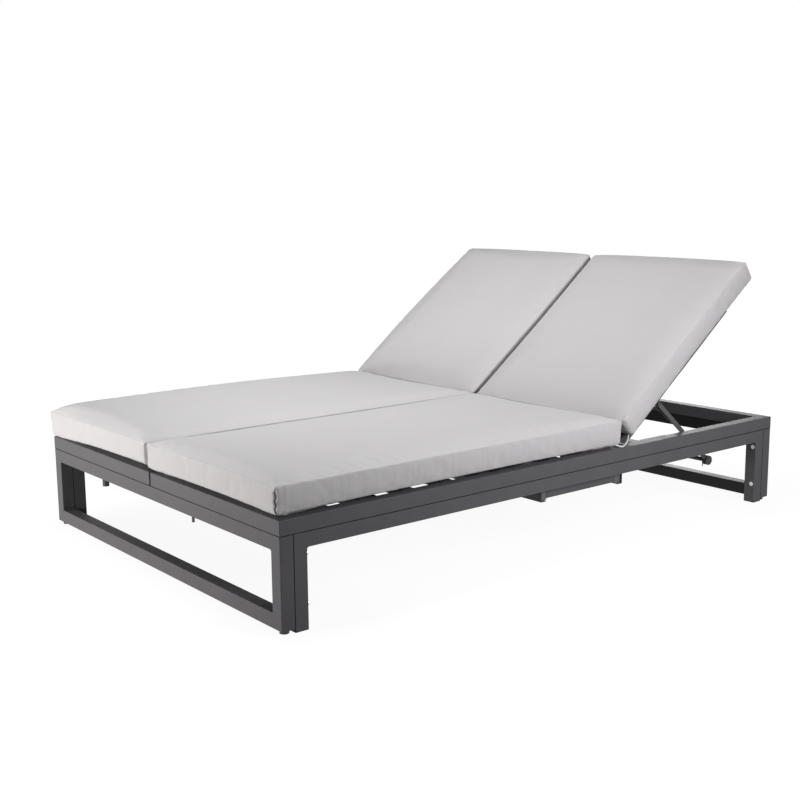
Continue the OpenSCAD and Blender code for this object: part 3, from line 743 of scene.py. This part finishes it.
def dress(c):
    """Sewn valleys, puckers beside them and slow waves, kept within the cushion's space."""
    seam = subdivided(c.obj)
    points = c.coords()
    normals = c.normals()
    brim = c.belly + c.size[2]
    x, y, z = points.T
    to_seam = np.minimum(np.abs(z - brim), np.abs(z - c.belly))
    inside = [np.clip(c.half[k] - np.abs(points[:, k]), 0, None) for k in range(2)]
    face = normals ** 2
    # Folds run across the seams: up and down the boxing, inwards on the top and the underside
    folds = []
    for k in range(2):
        along = points[:, 1 - k]
        patches = 0.55 + 0.45 * ripple(along, FINE_PATCH, c.seed + 4 + k)
        fine = ripple(along, FINE_FOLD, c.seed + k) * patches
        broad = ripple(along, BROAD_FOLD, c.seed + 8 + k)
        high = FOLD_HIGH + FOLD_AT_SEAM * np.exp(-to_seam / SEAM_FADE)
        boxing = fine * high + broad * BROAD_HIGH
        beside = np.exp(-inside[k] / TOP_FADE)
        folds.append(face[:, k] * boxing + face[:, 2] * fine * TOP_FOLD_HIGH * beside)
    lift = folds[0] + folds[1]
    lift += face[:, 2] * SLOW_HIGH * waves(points, SLOW_WAVE, c.seed + 12)
    lift += SMALL_HIGH * waves(points, SMALL_WAVE, c.seed + 13)
    # Puckers fan out from the four corners
    nook = np.hypot(*(np.clip(depth - PUCKER_CLEAR, 0, None) for depth in inside))
    lift += PUCKER_HIGH * waves(points, PUCKER, c.seed + 14) * np.exp(-nook / PUCKER_FADE)
    lift -= SEAM_DEPTH * np.clip(seam, 0, 1) ** 1.5
    points = points + normals * lift[:, None]
    # Painted shade in the valleys of the sewn seams
    crease_shade = SEAM_SHADE * np.clip(seam, 0, 1)
    if c.deep_corner:
        # A corner that wasn't filled out: its seam sinks into an uneven upright fold
        cx, cy = c.deep_corner
        rough_x = points[:, 0] * cx - c.half[0]
        rough_y = points[:, 1] * cy - c.half[1]
        wander = FOLD_WANDER * ripple(z, FOLD_WANDER_SCALE, c.seed + 20)
        off_line = (rough_x - rough_y) / math.sqrt(2) + wander
        reach = np.clip(1 + (rough_x + rough_y) / FOLD_REACH, 0, 1)
        upper = np.clip((brim - FOLD_TOP_CLEAR - z) / FOLD_TOP_FADE, 0, 1)
        lower = np.clip((z - c.belly + FOLD_LOW_REACH) / FOLD_LOW_FADE, 0, 1)
        wide = FOLD_WIDE + FOLD_WIDE_CHANGE * ripple(z, FOLD_WIDE_SCALE, c.seed + 21)
        sunk = np.exp(-(off_line / wide) ** 2) * reach * upper * lower
        points[:, 0] -= cx * FOLD_SINK * sunk
        points[:, 1] -= cy * FOLD_SINK * sunk
        # Painted shade in the fold's valley
        crease_shade = np.maximum(crease_shade, FOLD_SHADE * sunk)
    points[:, 2] = np.maximum(points[:, 2], 0.0)
    outside = c.half[0] + PROUD + c.bulge + c.swell[0]
    middle = c.half[0] + MIDDLE_SLACK - c.tuck
    limit = np.where(points[:, 0] * c.inward > 0, middle, outside)
    points[:, 0] = np.clip(points[:, 0], -limit, limit)
    points[:, 1] = np.clip(points[:, 1], -c.half[1] - PROUD - c.full[0], c.half[1] + PROUD + c.full[1])
    c.set_coords(points)
    stored = c.obj.data.attributes.new("crease_shade", "FLOAT", "POINT")
    stored.data.foreach_set("value", crease_shade.astype(np.float32))
    for polygon in c.obj.data.polygons:
        polygon.use_smooth = True


def add_seams(c):
    """The sewn line in the valleys: along both edges of the boxing and down its four corners."""
    co = c.coords()
    tree = BVHTree.FromObject(c.obj, bpy.context.evaluated_depsgraph_get())

    def laid(line, closed):
        path = []
        ends = line[1:] + line[:1] if closed else line[1:]
        for a, b in zip(line, ends):
            half_way = tree.find_nearest(Vector((co[a] + co[b]) / 2))[0]
            path += [Vector(co[a]), half_way]
        return path if closed else path + [Vector(co[line[-1]])]

    outline = round_outline(SEAM_R)
    made = [swept("seam", laid(line, True), outline, closed=True) for line in c.loops]
    made += [swept("seam", laid(line, False), outline) for line in c.posts]
    seams = joined(c.name + "_seams", made)
    seams.data.materials.append(seam_linen)
    seams.matrix_world = c.place
    return seams


# How each cushion lies in the photograph: the left ones are looser and hang over the deck
SEAT_SEED = 100
BACK_SEED = 200
BACK_FLATTER = 0.003
INWARD = {"right": -1, "left": 1}
SEAT = dict(full=(0.0, 0.008), hollow=0.005)
BACK = dict(corner_r=0.013, full=(0.008, 0.0), head_rim=0.006, hollow=0.007)
SEAT_OF = {
    "right": dict(bulge=0.003, tuck=-0.009, deep_corner=(1, -1)),
    "left": dict(bulge=0.026, puff=0.012, swell=(0.003, 0.012, 1.5), tuck=0.013,
                 drop=(-0.008, 0.009)),
}
BACK_OF = {
    "right": dict(bulge=0.003, drawn=(0.004, 0.0), inner_roll=0.006, tuck=-0.013),
    "left": dict(bulge=0.026, puff=0.012, drawn=(0.0, 0.0), swell=(0.012, 0.009, 0.66),
                 inner_roll=0.002, tuck=0.021),
}

cushions = []
hinge = Matrix.Translation(HINGE) @ Matrix.Rotation(REST_ANGLE, 4, "X")
for number, side in enumerate(SIDES):
    low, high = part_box("seat_cushion_" + side)
    crown = high.z - low.z - SEAT_BELLY - CUSHION_T
    crown -= FACE_SWELL
    wide = high.x - low.x
    middle_x = (low.x + high.x) / 2
    place = Matrix.Translation((middle_x, (low.y + high.y) / 2, low.z))
    cushions.append(Cushion(
        "seat_pad_" + side, "seat_cushion_" + side, (wide, high.y - low.y, CUSHION_T), SEAT_BELLY,
        crown, place, INWARD[side], SEAT_SEED + number, **SEAT, **SEAT_OF[side]))
    co = np.array([v.co for v in frame["nodes"]["back_cushion_" + side].data.vertices])
    turned = (co - np.array(HINGE)) @ np.array(hinge.to_3x3())
    low, high = turned.min(0), turned.max(0)
    place = hinge @ Matrix.Translation((middle_x, (low[1] + high[1]) / 2, low[2]))
    cushions.append(Cushion(
        "back_pad_" + side, "back_cushion_" + side, (wide, high[1] - low[1], CUSHION_T), BACK_BELLY,
        crown - BACK_FLATTER, place, INWARD[side], BACK_SEED + number, **BACK, **BACK_OF[side]))

blow_up(cushions)
for c in cushions:
    dress(c)
    seams = add_seams(c)
    c.obj.data.materials.clear()
    c.obj.data.materials.append(linen)
    body = body_of_node(c.node)
    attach(c.obj, body)
    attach(seams, body)
    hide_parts(c.node)
    # Each piece gets a mesh of its own
    for piece in (c.obj, seams):
        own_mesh(piece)


# The seat cushions' corner ties, which run from the rear corner seam up under the back cushion

TIE_PATH = ((0.636, 0.218, 0.3010), (0.647, 0.234, 0.2945), (0.650, 0.246, 0.2913),
            (0.646, 0.262, 0.2940), (0.640, 0.280, 0.3010), (0.632, 0.293, 0.3080),
            (0.627, 0.300, 0.3165), (0.624, 0.303, 0.3195))
TAB_PATH = ((0.634, 0.232, 0.3045), (0.637, 0.243, 0.3025), (0.641, 0.254, 0.2975),
            (0.646, 0.264, 0.2918))
TAPE_SIZE = (0.0060, 0.0014)
TAB_SIZE = (0.0170, 0.0016)
TAB_ACROSS = (1.0, 0.0, 0.0)


def flat_outline(width, thick):
    """A tape's section with rounded edges."""
    a, b = width / 2, thick / 2
    return [(-a, 0.0), (-a + b, -b), (a - b, -b), (a, 0.0), (a - b, b), (-a + b, b)]


for side in SIDES:
    sign = 1 if side == "right" else -1
    paths = [curve_through([(sign * x, y, z) for x, y, z in path]) for path in (TIE_PATH, TAB_PATH)]
    tape = swept("tape", paths[0], flat_outline(*TAPE_SIZE), across=(sign * 0.5, 0.2, -0.8))
    tab = swept("tab", paths[1], flat_outline(*TAB_SIZE), across=TAB_ACROSS)
    tie = joined("cushion_tie_" + side, [tape, tab])
    tie.data.materials.append(tie_linen)
    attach(tie, "base")
    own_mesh(tie)


# Weld fillets in the inner corners of the welded frames

FILLET_R = 0.0055
FILLET_STEPS = 5
FILLET_INSET = 0.001


def fillet(corner, one, two, across):
    """A concave fillet in the corner between two tubes, as wide as across."""
    corner, one, two, across = (Vector(v) for v in (corner, one, two, across))
    middle = corner + (one + two) * FILLET_R
    rim = [corner]
    for k in range(FILLET_STEPS + 1):
        a = math.pi / 2 * k / FILLET_STEPS
        rim.append(middle - two * (FILLET_R * math.cos(a)) - one * (FILLET_R * math.sin(a)))
    mesh = bmesh.new()
    rings = [[mesh.verts.new(p + across * s) for p in rim] for s in (-0.5, 0.5)]
    count = len(rim)
    for k in range(count):
        mesh.faces.new((rings[0][k], rings[0][(k + 1) % count], rings[1][(k + 1) % count], rings[1][k]))
    mesh.faces.new(rings[0][::-1])
    mesh.faces.new(rings[1])
    bmesh.ops.recalc_face_normals(mesh, faces=mesh.faces)
    return from_bmesh("fillet", mesh, smooth=False)


def corner_fillets(low, high, axis, tops=(0, 1)):
    """Fillets in the corners of the opening between low and high, seen along axis."""
    u, v = (k for k in range(3) if k != axis)
    across = [0.0, 0.0, 0.0]
    across[axis] = high[axis] - low[axis] - 2 * FILLET_INSET
    made = []
    for i in (0, 1):
        for j in tops:
            corner = [0.0, 0.0, 0.0]
            corner[axis] = (low[axis] + high[axis]) / 2
            corner[u], corner[v] = (low, high)[i][u], (low, high)[j][v]
            one, two = [0.0, 0.0, 0.0], [0.0, 0.0, 0.0]
            one[u], two[v] = 1.0 - 2 * i, 1.0 - 2 * j
            made.append(fillet(corner, one, two, across))
    return made


WELDED = (
    ("front_loop", 1, (0, 1)),
    ("rear_loop", 1, (0, 1)),
    ("side_frame_right", 0, (1,)),
    ("side_frame_left", 0, (1,)),
    ("deck_frame_right", 2, (0, 1)),
    ("deck_frame_left", 2, (0, 1)),
)
for node, axis, tops in WELDED:
    low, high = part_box(node)
    margin = Vector([0.0 if k == axis else TUBE for k in range(3)])
    welds = joined("weld_" + node, corner_fillets(low + margin, high - margin, axis, tops))
    for polygon in welds.data.polygons:
        polygon.use_smooth = False
    welds.data.materials.append(frame_coat)
    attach(welds, "base")


# Studio

FLOOR_HALF = 30.0
FLOOR_GREY = (0.13, 0.13, 0.13, 1.0)
FLOOR_WHITE_NEAR = 0.93
FLOOR_WHITE_FAR = 1.0
FLOOR_NEAR_R = 1.2
FLOOR_FAR_R = 3.2
WHITE = (1.0, 1.0, 1.0, 1.0)


def emission_floor():
    """White for the camera with the object's soft shadow in it, a plain grey for its light."""
    g = Graph("studio_floor")
    path = g.node("ShaderNodeLightPath").outputs
    seen = g.math("MAXIMUM", g.math("MAXIMUM", path["Is Camera Ray"], path["Is Glossy Ray"]),
                  path["Is Transmission Ray"])
    pale = g.node("ShaderNodeBsdfDiffuse", {"Color": FLOOR_GREY}).outputs[0]
    place = g.node("ShaderNodeTexCoord").outputs["Object"]
    away = g.node("ShaderNodeVectorMath", {0: place}, operation="LENGTH").outputs["Value"]
    level = g.ramp(away, FLOOR_WHITE_NEAR, FLOOR_WHITE_FAR, FLOOR_NEAR_R, FLOOR_FAR_R)
    white = g.node("ShaderNodeEmission", {"Color": WHITE, "Strength": level}).outputs[0]
    lit = g.node("ShaderNodeAddShader", {0: pale, 1: white}).outputs[0]
    mixed = g.node("ShaderNodeMixShader", {0: seen, 1: pale, 2: lit}).outputs[0]
    out = g.tree.nodes["Material Output"]
    g.tree.links.new(mixed, out.inputs["Surface"])
    return g.material


def make_world(level):
    world = bpy.data.worlds.new("studio")
    scene.world = world
    world.use_nodes = True
    tree = world.node_tree
    tree.nodes.clear()
    path = tree.nodes.new("ShaderNodeLightPath").outputs
    seen = path["Is Camera Ray"]
    for name in ("Is Glossy Ray", "Is Transmission Ray"):
        either = tree.nodes.new("ShaderNodeMath")
        either.operation = "MAXIMUM"
        tree.links.new(seen, either.inputs[0])
        tree.links.new(path[name], either.inputs[1])
        seen = either.outputs[0]
    shown = tree.nodes.new("ShaderNodeMapRange")
    tree.links.new(seen, shown.inputs["Value"])
    shown.inputs["To Min"].default_value = level
    shown.inputs["To Max"].default_value = 1.0
    background = tree.nodes.new("ShaderNodeBackground")
    background.inputs["Color"].default_value = WHITE
    tree.links.new(shown.outputs[0], background.inputs["Strength"])
    out = tree.nodes.new("ShaderNodeOutputWorld")
    tree.links.new(background.outputs[0], out.inputs["Surface"])


def area_light(name, place, target, size, power, tint):
    data = bpy.data.lights.new(name, "AREA")
    data.shape = "RECTANGLE"
    data.size, data.size_y = size
    data.energy = power
    data.color = tint
    lamp = new_object(name, data)
    lamp.location = place
    aim = Vector(target) - Vector(place)
    lamp.rotation_mode = "QUATERNION"
    lamp.rotation_quaternion = aim.to_track_quat("-Z", "Y")
    lamp.visible_camera = False


def make_floor():
    mesh = bmesh.new()
    bmesh.ops.create_grid(mesh, x_segments=2, y_segments=2, size=FLOOR_HALF)
    floor = from_bmesh("floor", mesh)
    floor.data.materials.append(emission_floor())
    floor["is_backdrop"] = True


WORLD_LEVEL = 0.07
# Each lamp: name, place, what it points at, size, power and colour
LAMPS = (
    ("top_soft", (-0.25, -0.43, 2.4), (-0.25, -0.48, 0.3), (1.4, 1.4), 31.5, (1.0, 1.0, 1.0)),
    ("bed_soft", (-0.10, -0.60, 1.5), (-0.10, -0.60, 0.3), (0.7, 0.7), 2.8, (1.0, 1.0, 1.0)),
    ("foot_soft", (-0.50, -2.35, 0.27), (-0.2, -1.0, 0.29), (2.2, 0.22), 31.0, (1.0, 0.975, 0.96)),
    ("side_soft", (2.1, 0.20, 0.90), (0.6, 0.1, 0.42), (1.0, 0.9), 22.5, (0.99, 0.985, 1.0)),
    ("rear_soft", (-1.7, 2.8, 0.60), (-0.2, 0.5, 0.35), (1.6, 0.9), 44.0, (1.0, 1.0, 1.0)),
)

make_floor()
make_world(WORLD_LEVEL)
for lamp in LAMPS:
    area_light(*lamp)

low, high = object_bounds()
